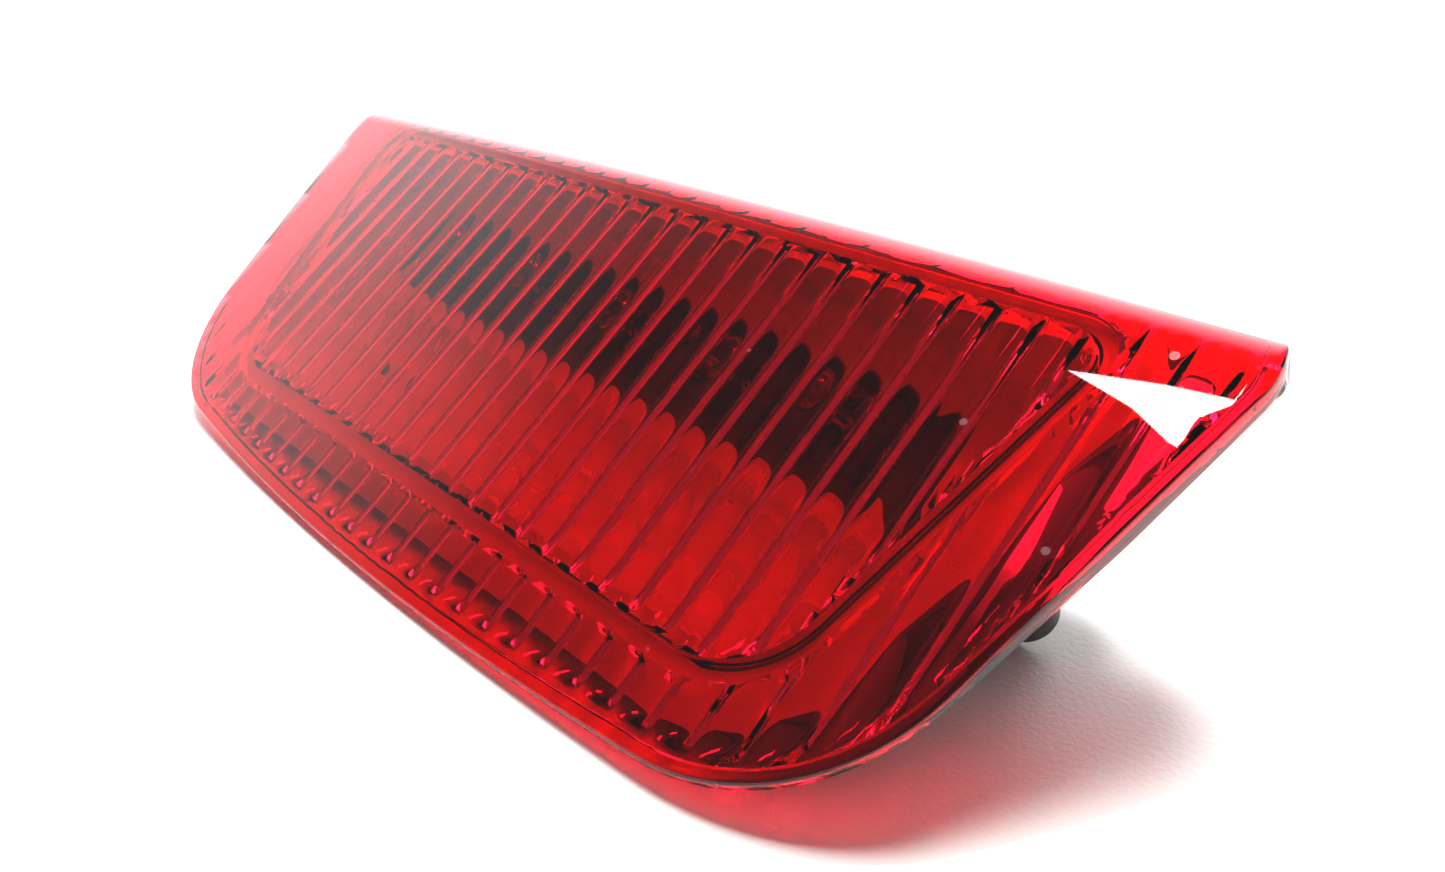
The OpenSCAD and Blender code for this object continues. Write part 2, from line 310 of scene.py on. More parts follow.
def bump(tree, height, strength, distance):
    node = tree.nodes.new("ShaderNodeBump")
    node.inputs["Strength"].default_value = strength
    node.inputs["Distance"].default_value = distance
    tree.links.new(height, node.inputs["Height"])
    return node.outputs["Normal"]


def finish(name):
    """A new material; gives it with its tree and its Principled shader."""
    material = bpy.data.materials.new(name)
    material.use_nodes = True
    return material, material.node_tree, material.node_tree.nodes["Principled BSDF"]


# ---------------------------------------------------------------- finishes

def plastic(name, colour, rough, scale, depth, dust, speck=(0.36, 0.34, 0.31), ior=1.5):
    """Moulded plastic with spark grain, a patchy gloss, dust and rubbed lines."""
    material, tree, shader = finish(name)
    grain = effect(tree, "Moulded Grain", grain_group, Scale=scale)
    settled = effect(tree, "Settled Dust", dust_group, Amount=dust)
    rubbed = effect(tree, "Fine Scratches", scratch_group, Amount=0.6)
    pale = tuple(c * 1.5 + 0.02 for c in colour)
    base = blend_colour(tree, grain["Patch"], colour, tuple(c * 1.25 for c in colour))
    base = blend_colour(tree, sums(tree, "MULTIPLY", rubbed["Lines"], 0.5), base, pale)
    base = blend_colour(tree, sums(tree, "MULTIPLY", settled["Film"], 0.16), base, speck)
    base = blend_colour(tree, settled["Specks"], base, speck)
    tree.links.new(base, shader.inputs["Base Color"])
    gloss = sums(tree, "ADD", sums(tree, "MULTIPLY", grain["Patch"], 0.12), rough - 0.05)
    gloss = sums(tree, "ADD", gloss, sums(tree, "MULTIPLY", settled["Specks"], 0.4), True)
    tree.links.new(gloss, shader.inputs["Roughness"])
    shader.inputs["IOR"].default_value = ior
    tree.links.new(bump(tree, grain["Height"], 0.6, depth), shader.inputs["Normal"])
    return material


def housing_finish(colour, metal_colour, dust):
    """The housing's plastic; its flange's front face carries the same mirror coat as the reflector."""
    material = plastic("Housing Black", colour, 0.46, 2200, 0.00012, dust)
    tree = material.node_tree
    shader = tree.nodes["Principled BSDF"]
    front = seat_turn() @ Vector((0, 0, 1))
    facing = tree.nodes.new("ShaderNodeNewGeometry")
    coated = None
    for source, offset, low, high in ((facing.outputs["Normal"], Vector(), 0.9, 0.98),
                                      (object_place(tree), seat(0, 0, COAT_D), 0.0, 0.0001)):
        along = tree.nodes.new("ShaderNodeVectorMath")
        along.operation = "DOT_PRODUCT"
        along.inputs[1].default_value = front
        tree.links.new(source, along.inputs[0])
        part = ramp(tree, sums(tree, "SUBTRACT", along.outputs["Value"], front.dot(offset)), low, high)
        coated = part if coated is None else sums(tree, "MULTIPLY", coated, part)
    old = shader.inputs["Base Color"].links[0].from_socket
    tree.links.new(blend_colour(tree, coated, old, metal_colour), shader.inputs["Base Color"])
    tree.links.new(coated, shader.inputs["Metallic"])
    return material


def metal(name, colour, rough, stain, brushed=(900.0, 60.0, 900.0)):
    """Stamped or turned metal with drawn lines and light staining."""
    material, tree, shader = finish(name)
    where = object_place(tree)
    drawn = noise(tree, where, 1.0, 4.0, 0.6, brushed)
    stained = ramp(tree, noise(tree, where, 160.0, 5.0, 0.7), 0.45, 0.75)
    base = blend_colour(tree, sums(tree, "MULTIPLY", stained, 0.55), colour, stain)
    tree.links.new(base, shader.inputs["Base Color"])
    shader.inputs["Metallic"].default_value = 1
    gloss = sums(tree, "ADD", sums(tree, "MULTIPLY", stained, 0.18), rough - 0.1)
    gloss = sums(tree, "ADD", sums(tree, "MULTIPLY", drawn, 0.2), gloss)
    tree.links.new(gloss, shader.inputs["Roughness"])
    tree.links.new(bump(tree, drawn, 0.4, 0.00004), shader.inputs["Normal"])
    return material


def lens_finish(colour, dust):
    """Clear red acrylic, glossy, with faint flow in the colour, dust specks and hair scratches; to diffuse
    rays from outside it turns nearly black, a painted shadow on the floor beneath.
    """
    material, tree, shader = finish("Lens Red")
    where = object_place(tree)
    settled = effect(tree, "Settled Dust", dust_group, Amount=dust, Specks=150.0)
    rubbed = effect(tree, "Fine Scratches", scratch_group, Amount=0.8 * dust)
    flow = noise(tree, where, 14.0, 2.0)
    deeper = (colour[0] * 0.86, colour[1] * 0.5, colour[2] * 0.7)
    base = blend_colour(tree, flow, colour, deeper)
    base = blend_colour(tree, sums(tree, "MULTIPLY", rubbed["Lines"], 0.25), base, (0.95, 0.30, 0.34))
    base = blend_colour(tree, sums(tree, "MULTIPLY", settled["Specks"], 0.8), base, (0.92, 0.50, 0.52))
    outward = tree.nodes.new("ShaderNodeVectorMath")
    outward.operation = "DOT_PRODUCT"
    outward.inputs[1].default_value = seat_turn() @ Vector((0, 0, 1))
    tree.links.new(tree.nodes.new("ShaderNodeNewGeometry").outputs["Normal"], outward.inputs[0])
    # Painted shadow: to diffuse rays that meet the face from outside, or that come from beyond the lamp's
    # depth, the lens is nearly black, so the floor's shadow under it is painted dark and grey instead of lit
    # red through the lens
    path = tree.nodes.new("ShaderNodeLightPath")
    from_outside = ramp(tree, outward.outputs["Value"], -0.1, 0.1)
    from_afar = ramp(tree, path.outputs["Ray Length"], 0.035, 0.06)
    either = sums(tree, "MAXIMUM", from_outside, from_afar)
    painted_shadow = sums(tree, "MULTIPLY", path.outputs["Is Diffuse Ray"], either)
    base = blend_colour(tree, sums(tree, "MULTIPLY", painted_shadow, 0.9), base, (0.02, 0.012, 0.012))
    tree.links.new(base, shader.inputs["Base Color"])
    gloss = sums(tree, "ADD", sums(tree, "MULTIPLY", rubbed["Lines"], 0.12), 0.012)
    gloss = sums(tree, "ADD", gloss, sums(tree, "MULTIPLY", settled["Specks"], 0.5), True)
    tree.links.new(gloss, shader.inputs["Roughness"])
    shader.inputs["Transmission Weight"].default_value = 1
    shader.inputs["IOR"].default_value = 1.49
    wave = noise(tree, where, 30.0, 1.0)
    tree.links.new(bump(tree, wave, 0.12, 0.0001), shader.inputs["Normal"])
    return material


def glass_finish():
    """Drawn lamp glass, clear, with a faint smoke near the filament."""
    material, tree, shader = finish("Bulb Glass")
    smoke = ramp(tree, noise(tree, object_place(tree), 220.0, 2.0), 0.45, 0.8)
    base = blend_colour(tree, smoke, (0.97, 0.98, 0.98), (0.86, 0.87, 0.86))
    tree.links.new(base, shader.inputs["Base Color"])
    tree.links.new(sums(tree, "ADD", sums(tree, "MULTIPLY", smoke, 0.04), 0.01), shader.inputs["Roughness"])
    shader.inputs["Transmission Weight"].default_value = 1
    shader.inputs["IOR"].default_value = 1.5
    tree.links.new(bump(tree, smoke, 0.2, 0.0001), shader.inputs["Normal"])
    return material


def mirror_finish(colour):
    """Vacuum-metallised plastic: bright, pressed into shallow facets, faintly uneven."""
    material, tree, shader = finish("Reflector Metal")
    where = object_place(tree)
    pressed = effect(tree, "Pressed Facets", pillow_group)
    peel = noise(tree, where, 420.0, 2.0)
    cloud = ramp(tree, noise(tree, where, 45.0, 4.0), 0.35, 0.75)
    base = blend_colour(tree, cloud, colour, tuple(c * 0.9 for c in colour))
    tree.links.new(base, shader.inputs["Base Color"])
    shader.inputs["Metallic"].default_value = 0.45
    tree.links.new(sums(tree, "ADD", sums(tree, "MULTIPLY", cloud, 0.1), 0.2), shader.inputs["Roughness"])
    height = sums(tree, "ADD", pressed["Height"], sums(tree, "MULTIPLY", peel, 0.04))
    tree.links.new(bump(tree, height, 0.7, 0.0006), shader.inputs["Normal"])
    return material


def foam_finish():
    """Closed-cell foam: matt, pitted with small bubbles, with painted shade darkening the pits."""
    material, tree, shader = finish("Foam")
    cells = tree.nodes.new("ShaderNodeTexVoronoi")
    cells.inputs["Scale"].default_value = 2600
    tree.links.new(object_place(tree), cells.inputs["Vector"])
    settled = effect(tree, "Settled Dust", dust_group, Amount=0.8)
    pit_and_shade = ramp(tree, cells.outputs["Distance"], 0.1, 0.6)
    # Painted shade: the pits are coloured darker than the foam between them
    base = blend_colour(tree, pit_and_shade, (0.008, 0.008, 0.008), (0.035, 0.035, 0.036))
    base = blend_colour(tree, sums(tree, "MULTIPLY", settled["Film"], 0.2), base, (0.30, 0.29, 0.27))
    tree.links.new(base, shader.inputs["Base Color"])
    tree.links.new(sums(tree, "ADD", sums(tree, "MULTIPLY", pit_and_shade, 0.1), 0.82), shader.inputs["Roughness"])
    tree.links.new(bump(tree, pit_and_shade, 0.9, 0.0003), shader.inputs["Normal"])
    return material


FINISHES = {}

# The nodes of the frame that wear each finish
FINISH_OF = {
    "lens_red": ("lens",),
    "housing_black": ("housing",),
    "reflector_metal": ("reflector",),
    "foam": ("body_gasket",),
    "carrier_dark": ("carrier",),
    "rubber_black": ("vent_cap", "carrier_seal"),
    "brass": ("threaded_inserts", "contact_strip_live", "contact_strip_earth",
              "terminal_live", "terminal_earth"),
    "connector_grey": ("connector_shroud", "latch_left", "latch_right"),
    "steel": ("latch_pins",),
    "bulb_glass": tuple(f"bulb_glass_{i}" for i in BULBS),
    "bulb_wire": tuple(f"bulb_wires_{i}" for i in BULBS),
}

# The parts whose edges are eased: node, width in millimetres, body
EASED = (
    ("housing", 0.3, "lamp"),
    ("carrier", 0.2, "carrier_unit"),
    ("carrier_seal", 0.25, "carrier_unit"),
    ("connector_shroud", 0.3, "carrier_unit"),
    ("latch_left", 0.2, "lever_left"),
    ("latch_right", 0.2, "lever_right"),
    ("vent_cap", 0.35, "lamp"),
    ("threaded_inserts", 0.2, "lamp"),
    ("contact_strip_live", 0.1, "carrier_unit"),
    ("contact_strip_earth", 0.1, "carrier_unit"),
    ("terminal_live", 0.12, "carrier_unit"),
    ("terminal_earth", 0.12, "carrier_unit"),
    ("latch_pins", 0.15, "carrier_unit"),
)


def slot_of(node):
    """The finish that a node wears."""
    return next(slot for slot, nodes in FINISH_OF.items() if node in nodes)


def make_finishes(settings):
    """All of the lamp's finishes, keyed by the record's slots."""
    lens, own = settings.third_light_lens, settings.third_light_finish
    FINISHES.update({
        "lens_red": lens_finish(tuple(lens.colour), own.dust),
        "housing_black": housing_finish(tuple(own.housing), tuple(own.metal), 0.9 * own.dust),
        "carrier_dark": plastic("Carrier Dark", tuple(own.carrier), 0.52, 3200, 0.00009, 0.5 * own.dust),
        "connector_grey": plastic("Connector Grey", tuple(own.connector), 0.40, 3000, 0.00006,
                                  0.5 * own.dust),
        "rubber_black": plastic("Rubber Black", (0.012, 0.012, 0.012), 0.62, 1500, 0.00008,
                                0.8 * own.dust, ior=1.52),
        "reflector_metal": mirror_finish(tuple(own.metal)),
        "brass": metal("Brass", (0.80, 0.58, 0.27), 0.30, (0.34, 0.22, 0.11)),
        "steel": metal("Steel", (0.62, 0.61, 0.59), 0.28, (0.28, 0.25, 0.22)),
        "bulb_wire": metal("Bulb Wire", (0.52, 0.46, 0.40), 0.34, (0.20, 0.17, 0.15)),
        "bulb_glass": glass_finish(),
        "foam": foam_finish(),
    })


# ---------------------------------------------------------------- mesh helpers

def new_piece(name, mesh, body, slot, *nodes, smooth=None):
    """Makes an object of a mesh that is already in place, gives it its finish and fixes it to its body."""
    piece = bpy.data.objects.new(name, mesh)
    bpy.context.scene.collection.objects.link(piece)
    mesh.materials.clear()
    mesh.materials.append(FINISHES[slot])
    if smooth is not None:
        round_off(mesh, smooth)
    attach(piece, body)
    if nodes:
        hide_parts(*nodes)
    return piece


def round_off(mesh, angle):
    """Smooth shading, with edges sharper than the angle left crisp."""
    work = bmesh.new()
    work.from_mesh(mesh)
    for face in work.faces:
        face.smooth = True
    for edge in work.edges:
        edge.smooth = len(edge.link_faces) == 2 and edge.calc_face_angle(0) < radians(angle)
    work.to_mesh(mesh)
    work.free()


def mesh_of(name, points, faces):
    mesh = bpy.data.meshes.new(name)
    mesh.from_pydata([tuple(p) for p in points], [], faces)
    mesh.validate()
    mesh.update()
    return mesh


# ---------------------------------------------------------------- lens

def arc(cx, cy, r, start, end, count):
    """Points on an arc, angles in degrees."""
    turns = [radians(start + (end - start) * i / count) for i in range(count + 1)]
    return [(cx + r * cos(a), cy + r * sin(a)) for a in turns]


def mirrored(half):
    """A closed loop from its right half, which runs from the bottom middle to the top middle."""
    left = [(-x, y) for x, y in reversed(half) if abs(x) > 1e-6]
    return half + left


def lens_loop(inset):
    """The lens's developed outline: x, and the distance up the face, over the roll and down the flap."""
    lean = LENS_LEAN
    corner = LENS_CORNER_R
    cy = corner + 3
    for _ in range(20):
        cx = LENS_LOW_W / 2 + cy * tan(lean) - corner / cos(lean)
        cy = BOW_R - sqrt((BOW_R - corner) ** 2 - cx * cx)
    half = []
    swing = degrees(atan(cx / (BOW_R - cy)))
    r = BOW_R - inset
    for i in range(25):
        a = radians(swing * i / 24)
        half.append((r * sin(a), BOW_R - r * cos(a)))
    half += arc(cx, cy, corner - inset, -90 + swing, -degrees(lean), 16)[1:]
    top_s = 84.0
    x_top = LENS_LOW_W / 2 + top_s * tan(lean) - inset / cos(lean)
    x0, s0 = half[-1]
    for i in range(1, 19):
        half.append((x0 + (x_top - x0) * i / 18, s0 + (top_s - s0) * i / 18))
    x_flap = FLAP_HALF_W - inset
    s_join = 101.0
    for i in range(1, 13):
        t = i / 12
        bend = sin(t * pi / 2) ** 2
        x = x_top + tan(lean) * (s_join - top_s) * t * (1 - t) ** 2 + (x_flap - x_top) * bend
        half.append((x, top_s + (s_join - top_s) * t))
    half += arc(x_flap - FLAP_CORNER_R + inset * 0.5, FLAP_END - FLAP_CORNER_R + inset * 0.5 - inset,
                FLAP_CORNER_R - inset * 0.5, 0, 90, 8)[1:]
    last = half[-1]
    for i in range(1, 25):
        half.append((last[0] * (1 - i / 24), last[1]))
    return mirrored(half)


def rib_loop(grow):
    """The weld rib's outline."""
    lean = atan((WINDOW_TOP_W - WINDOW_LOW_W) / 2 / WINDOW_H)
    low_x = WINDOW_LOW_W / 2 + WINDOW_LOW_R * tan(lean) - WINDOW_LOW_R / cos(lean)
    top_x = WINDOW_LOW_W / 2 + (WINDOW_H - WINDOW_TOP_R) * tan(lean) - WINDOW_TOP_R / cos(lean)
    half = [(low_x * i / 20, WINDOW_Y - grow) for i in range(20)]
    half += arc(low_x, WINDOW_Y + WINDOW_LOW_R, WINDOW_LOW_R + grow, -90, -degrees(lean), 12)
    x0, y0 = half[-1]
    high = arc(top_x, WINDOW_Y + WINDOW_H - WINDOW_TOP_R, WINDOW_TOP_R + grow, -degrees(lean), 90, 12)
    for i in range(1, 16):
        half.append((x0 + (high[0][0] - x0) * i / 16, y0 + (high[0][1] - y0) * i / 16))
    half += high
    x1, y1 = half[-1]
    half += [(x1 * (1 - i / 20), y1) for i in range(1, 21)]
    return mirrored(half)


def inside(loop, x, y):
    """Whether a point is inside a closed loop."""
    hit = False
    xa, ya = loop[-1]
    for xb, yb in loop:
        if (ya > y) != (yb > y) and x < (xb - xa) * (y - ya) / (yb - ya) + xa:
            hit = not hit
        xa, ya = xb, yb
    return hit


def edge_gap(loop, x, y):
    """Distance from a point to a closed loop."""
    best = 1e9
    xa, ya = loop[-1]
    for xb, yb in loop:
        dx, dy = xb - xa, yb - ya
        size = dx * dx + dy * dy
        t = 0 if size == 0 else max(0.0, min(1.0, ((x - xa) * dx + (y - ya) * dy) / size))
        best = min(best, (x - xa - t * dx) ** 2 + (y - ya - t * dy) ** 2)
        xa, ya = xb, yb
    return sqrt(best)


def surface(x, s, crown):
    """A point of the lens's outer skin and its outward direction, from the developed place (x, s)."""
    sag = x * x / 2 / crown + (min(s, ROLL_Y) - FACE_MID_Y) ** 2 / 2 / FACE_R
    if s < ROLL_Y:
        return Vector((x, s, -sag)), Vector((x / crown, (s - FACE_MID_Y) / FACE_R, 1)).normalized()
    turn = min((s - ROLL_Y) / ROLL_R, pi / 2)
    out = Vector((0, sin(turn), cos(turn)))
    point = Vector((x, ROLL_Y, -ROLL_R - sag)) + out * ROLL_R
    if s > ROLL_Y + ROLL_R * pi / 2:
        point.z -= s - ROLL_Y - ROLL_R * pi / 2
    return point, out


def rim_depth(s):
    """How deep the edge is: the rim at the sides and the bottom, the bare wall on the flap."""
    if s < 90:
        return RIM_D + (SIDE_RIM_D - RIM_D) * max(0.0, min(1.0, (s - 25) / 35))
    return SIDE_RIM_D - 3.4 * smooth(90, 104, s)


def stations(start, end, step):
    count = max(1, round((end - start) / step))
    return [start + (end - start) * i / count for i in range(count)]


def skin(loop, columns, rows, extra=()):
    """Triangles that fill a loop: its points first, then the extra loops' points, then the grid's."""
    points = [Vector(p) for p in loop]
    edges = [(i, (i + 1) % len(loop)) for i in range(len(loop))]
    for more in extra:
        base = len(points)
        points += [Vector(p) for p in more]
        edges += [(base + i, base + (i + 1) % len(more)) for i in range(len(more))]
    bands = [loop, *extra]
    for s in rows:
        cuts = [crossings(band, s) for band in bands]
        nearby = [segment_band(band, s) for band in bands]
        for x in columns:
            if not odd_left(cuts[0], x):
                continue
            if any(close_to(pieces, x, s, 0.22) for pieces in nearby):
                continue
            points.append(Vector((x, s)))
    verts, _, faces, _, _, _ = delaunay_2d_cdt(points, edges, [list(range(len(loop)))], 1, 1e-5)
    if len(verts) != len(points):
        raise RuntimeError(f"the skin has {len(verts)} points where {len(points)} were given")
    return verts, [list(f) for f in faces]


def crossings(loop, s):
    """Where a row crosses a loop."""
    found = []
    xa, ya = loop[-1]
    for xb, yb in loop:
        if (ya > s) != (yb > s):
            found.append((xb - xa) * (s - ya) / (yb - ya) + xa)
        xa, ya = xb, yb
    return sorted(found)


def odd_left(cuts, x):
    return sum(1 for c in cuts if c < x) % 2 == 1


def segment_band(loop, s):
    """The loop's pieces that pass near a row."""
    near = []
    xa, ya = loop[-1]
    for xb, yb in loop:
        if min(ya, yb) - 0.3 <= s <= max(ya, yb) + 0.3:
            near.append((xa, ya, xb, yb))
        xa, ya = xb, yb
    return near


def close_to(pieces, x, s, gap):
    for xa, ya, xb, yb in pieces:
        if x < min(xa, xb) - gap or x > max(xa, xb) + gap:
            continue
        dx, dy = xb - xa, yb - ya
        size = dx * dx + dy * dy
        t = 0 if size == 0 else max(0.0, min(1.0, ((x - xa) * dx + (s - ya) * dy) / size))
        if (x - xa - t * dx) ** 2 + (s - ya - t * dy) ** 2 < gap * gap:
            return True
    return False


def smooth(low, high, value):
    t = max(0.0, min(1.0, (value - low) / (high - low)))
    return t * t * (3 - 2 * t)


def flute_weight(x, s, rib_out, rib_in, edge):
    """How much of a flute's height stands at a place on the inner skin."""
    if s > 94:
        return 0.0
    if inside(rib_in, x, s):
        return min(1.0, edge_gap(rib_in, x, s) / 0.7)
    if inside(rib_out, x, s):
        return 0.0
    from_rib = min(1.0, edge_gap(rib_out, x, s) / 0.6)
    low = BOW_R - sqrt(BOW_R * BOW_R - x * x) + 3.4
    t = max(0.0, min(1.0, (s - low) / 3.4))
    round_end = sqrt(max(0.0, 1 - (1 - t) ** 2))
    from_edge = sqrt(max(0.0, min(1.0, (edge_gap(edge, x, s) - 0.3) / 2.6)))
    return from_rib * round_end * from_edge * (1 - smooth(86, 94, s))


def lens_mesh(settings):
    """The lens as one closed skin, with its crowned face, roll, flap, rim and weld rib; flutes come later."""
    wall = settings.wall
    crown = settings.crown
    pitch = settings.pitch
    soft = 0.9
    points, faces, weight = [], [], []

    outer = lens_loop(soft)
    columns = [i * 4.0 for i in range(-31, 32)]
    rows = stations(1.5, 82, 4.0) + stations(82, 102, 0.8) + stations(102, FLAP_END - 0.5, 2.5)
    verts, tris = skin(outer, columns, rows)
    for v in verts:
        points.append(surface(v.x, v.y, crown)[0])
        weight.append(0.0)
    faces += tris
    count = len(outer)
    rim_start = list(range(count))

    # The rim: rounded over, down to its foot, and back up inside
    true_edge = lens_loop(0)
    inner_edge = lens_loop(wall)
    rings = [rim_start]

    def ring(places):
        base = len(points)
        points.extend(places)
        weight.extend([0.0] * count)
        rings.append(list(range(base, base + count)))

    for step in (0.33, 0.66, 1.0):
        bend = step * pi / 2
        places = []
        for a, b in zip(outer, true_edge):
            near, out = surface(*a, crown)
            far, _ = surface(*b, crown)
            places.append(near + (far - near) * sin(bend) - out * soft * (1 - cos(bend)))
        ring(places)

    def foot(edge_from, down, s):
        point, out = surface(*edge_from, crown)
        lean_in = 1 - smooth(86, 100, s)
        back = Vector((0, 0, 1))
        if lean_in <= 0.999:
            back = (back * lean_in + out * (1 - lean_in)).normalized()
        return point - back * down

    depth = [rim_depth(s) - (0 if s > 90 else surface(x, s, crown)[0].z * -1) for x, s in true_edge]
    for share in (0.4, 0.75):
        ring([foot(e, soft + (d - soft - 0.3) * share, e[1]) for e, d in zip(true_edge, depth)])
    ring([foot(e, d - 0.3, e[1]) for e, d in zip(true_edge, depth)])
    near_edge, far_edge = lens_loop(0.3), lens_loop(wall - 0.3)
    ring([foot(e, d, e[1]) for e, d in zip(near_edge, depth)])
    ring([foot(e, d if e[1] < 100 else wall, e[1]) for e, d in zip(far_edge, depth)])
    flap = [smooth(98, 104, s) for _, s in inner_edge]
    ring([foot(e, (d - 0.3) * (1 - f) + (wall) * f, e[1]) for e, d, f in zip(inner_edge, depth, flap)])
    ring([foot(e, wall + (d - 0.3 - wall) * 0.5 * (1 - f), e[1])
          for e, d, f in zip(lens_loop(wall + 0.05), depth, flap)])

    # The inner wall, with the weld rib's four outlines in it
    inner = lens_loop(wall + 0.1)
    out_low, out_high = rib_loop(0.12), rib_loop(-0.05)
    in_high, in_low = rib_loop(-2.95), rib_loop(-3.12)
    offsets = (-3.5, -3.12, -2.75, -2.1, -1.25, -0.42, 0.42, 1.25, 2.1, 2.75, 3.12)
    columns = [i * pitch + o * pitch / 7 for i in range(-18, 19) for o in offsets]
    rows = (stations(3.2, 12, 0.7) + stations(12, 20, 1.3) + stations(20, 82, 3.2)
            + stations(82, 101, 1.0) + stations(101, FLAP_END - wall - 0.6, 2.2))
    verts, tris = skin(inner, columns, rows, (out_low, out_high, in_high, in_low))
    base = len(points)
    rib_first = len(inner)
    n_out, n_high, n_in = len(out_low), len(out_high), len(in_high)
    for i, v in enumerate(verts):
        point, out = surface(v.x, v.y, crown)
        on_rib = rib_first + n_out <= i < rib_first + n_out + n_high + n_in
        if not on_rib and i >= rib_first + n_out + n_high + n_in + len(in_low):
            on_rib = inside(out_high, v.x, v.y) and not inside(in_high, v.x, v.y)
        if on_rib:
            points.append(Vector((point.x, point.y, -RIB_FOOT_D)))
            weight.append(0.0)
        else:
            points.append(point - out * wall)
            loose = i >= rib_first + n_out + n_high + n_in + len(in_low)
            weight.append(flute_weight(v.x, v.y, out_low, in_low, inner) if loose else 0.0)
    faces += [[base + i for i in reversed(f)] for f in tris]
    rings.append([base + i for i in range(count)])
    for a, b in zip(rings, rings[1:]):
        for i in range(count):
            j = (i + 1) % count
            faces.append([a[i], b[i], b[j], a[j]])

    mesh = mesh_of("Fluted Lens", [SEAT @ p for p in points], faces)
    layer = mesh.attributes.new("flute", "FLOAT", "POINT")
    for i, value in enumerate(weight):
        layer.data[i].value = value
    return mesh


def shape_tree(name, *sizes):
    """A Geometry Nodes tree; gives it, its sizes' identifiers, its input node and its output node."""
    tree = bpy.data.node_groups.new(name, "GeometryNodeTree")
    made = {}
    tree.interface.new_socket(name="Geometry", in_out="INPUT", socket_type="NodeSocketGeometry")
    for title, kind, value in sizes:
        socket = tree.interface.new_socket(name=title, in_out="INPUT", socket_type=f"NodeSocket{kind}")
        socket.default_value = value
        made[title] = socket.identifier
    tree.interface.new_socket(name="Geometry", in_out="OUTPUT", socket_type="NodeSocketGeometry")
    return tree, made, tree.nodes.new("NodeGroupInput"), tree.nodes.new("NodeGroupOutput")


def end_tree(tree, shape, material, outlet):
    """Ends a tree: instances made real, and the finish set."""
    real = tree.nodes.new("GeometryNodeRealizeInstances")
    tree.links.new(shape, real.inputs[0])
    paint = tree.nodes.new("GeometryNodeSetMaterial")
    paint.inputs["Material"].default_value = material
    tree.links.new(real.outputs[0], paint.inputs["Geometry"])
    tree.links.new(paint.outputs[0], outlet.inputs[0])


def flute_tree(material):
    """Geometry Nodes: raises half-round flutes on the lens's inner skin, where its flute attribute allows."""
    tree, made, inlet, outlet = shape_tree("Half-Round Flutes", ("Pitch", "Float", 0.007),
                                           ("Gap", "Float", 0.0004), ("Rise", "Float", 0.00125))
    where = tree.nodes.new("GeometryNodeInputPosition")
    split = tree.nodes.new("ShaderNodeSeparateXYZ")
    tree.links.new(where.outputs[0], split.inputs[0])
    half = sums(tree, "MULTIPLY", inlet.outputs["Pitch"], 0.5)
    shifted = sums(tree, "ADD", split.outputs["X"], half)
    within = sums(tree, "SUBTRACT", sums(tree, "FLOORED_MODULO", shifted, inlet.outputs["Pitch"]), half)
    across = sums(tree, "DIVIDE", within, sums(tree, "SUBTRACT", half, inlet.outputs["Gap"]))
    square = sums(tree, "MINIMUM", sums(tree, "MULTIPLY", across, across), 1.0)
    height = sums(tree, "SUBTRACT", 1.0, square)
    weight = tree.nodes.new("GeometryNodeInputNamedAttribute")
    weight.data_type = "FLOAT"
    weight.inputs["Name"].default_value = "flute"
    share = sums(tree, "MULTIPLY", height, weight.outputs["Attribute"])
    lift = sums(tree, "MULTIPLY", share, inlet.outputs["Rise"])
    back = tree.nodes.new("ShaderNodeVectorMath")
    back.operation = "SCALE"
    back.inputs[0].default_value = tuple(seat_turn() @ Vector((0, 0, -1)))
    tree.links.new(lift, back.inputs["Scale"])
    move = tree.nodes.new("GeometryNodeSetPosition")
    tree.links.new(inlet.outputs["Geometry"], move.inputs["Geometry"])
    tree.links.new(back.outputs[0], move.inputs["Offset"])
    end_tree(tree, move.outputs[0], material, outlet)
    return tree, made


def baked(name, mesh, tree, values):
    """The plain mesh that a tree makes of a mesh, with the inputs given by identifier."""
    carrier = bpy.data.objects.new(name, mesh)
    bpy.context.scene.collection.objects.link(carrier)
    modifier = carrier.modifiers.new("Shape", "NODES")
    modifier.node_group = tree
    for identifier, value in values.items():
        modifier[identifier] = value
    seen = carrier.evaluated_get(bpy.context.evaluated_depsgraph_get())
    result = bpy.data.meshes.new_from_object(seen)
    bpy.data.objects.remove(carrier)
    result.name = name
    return result


class THIRDLIGHT_OT_lens(bpy.types.Operator):
    """Builds the red lens with its roll, flap, rim, weld rib and flutes"""
    bl_idname = "third_light.lens"
    bl_label = "Lens"

    def execute(self, context):
        settings = context.scene.third_light_lens
        tree, made = flute_tree(FINISHES["lens_red"])
        sizes = {made["Pitch"]: settings.pitch * MM, made["Gap"]: 0.4 * MM, made["Rise"]: settings.rise * MM}
        mesh = baked("Fluted Lens", lens_mesh(settings), tree, sizes)
        new_piece("fluted_lens", mesh, "lamp", "lens_red", "lens", smooth=38)
        return {"FINISHED"}


# ---------------------------------------------------------------- carried-over parts

def closed(mesh):
    work = bmesh.new()
    work.from_mesh(mesh)
    whole = all(len(edge.link_faces) == 2 for edge in work.edges)
    work.free()
    return whole


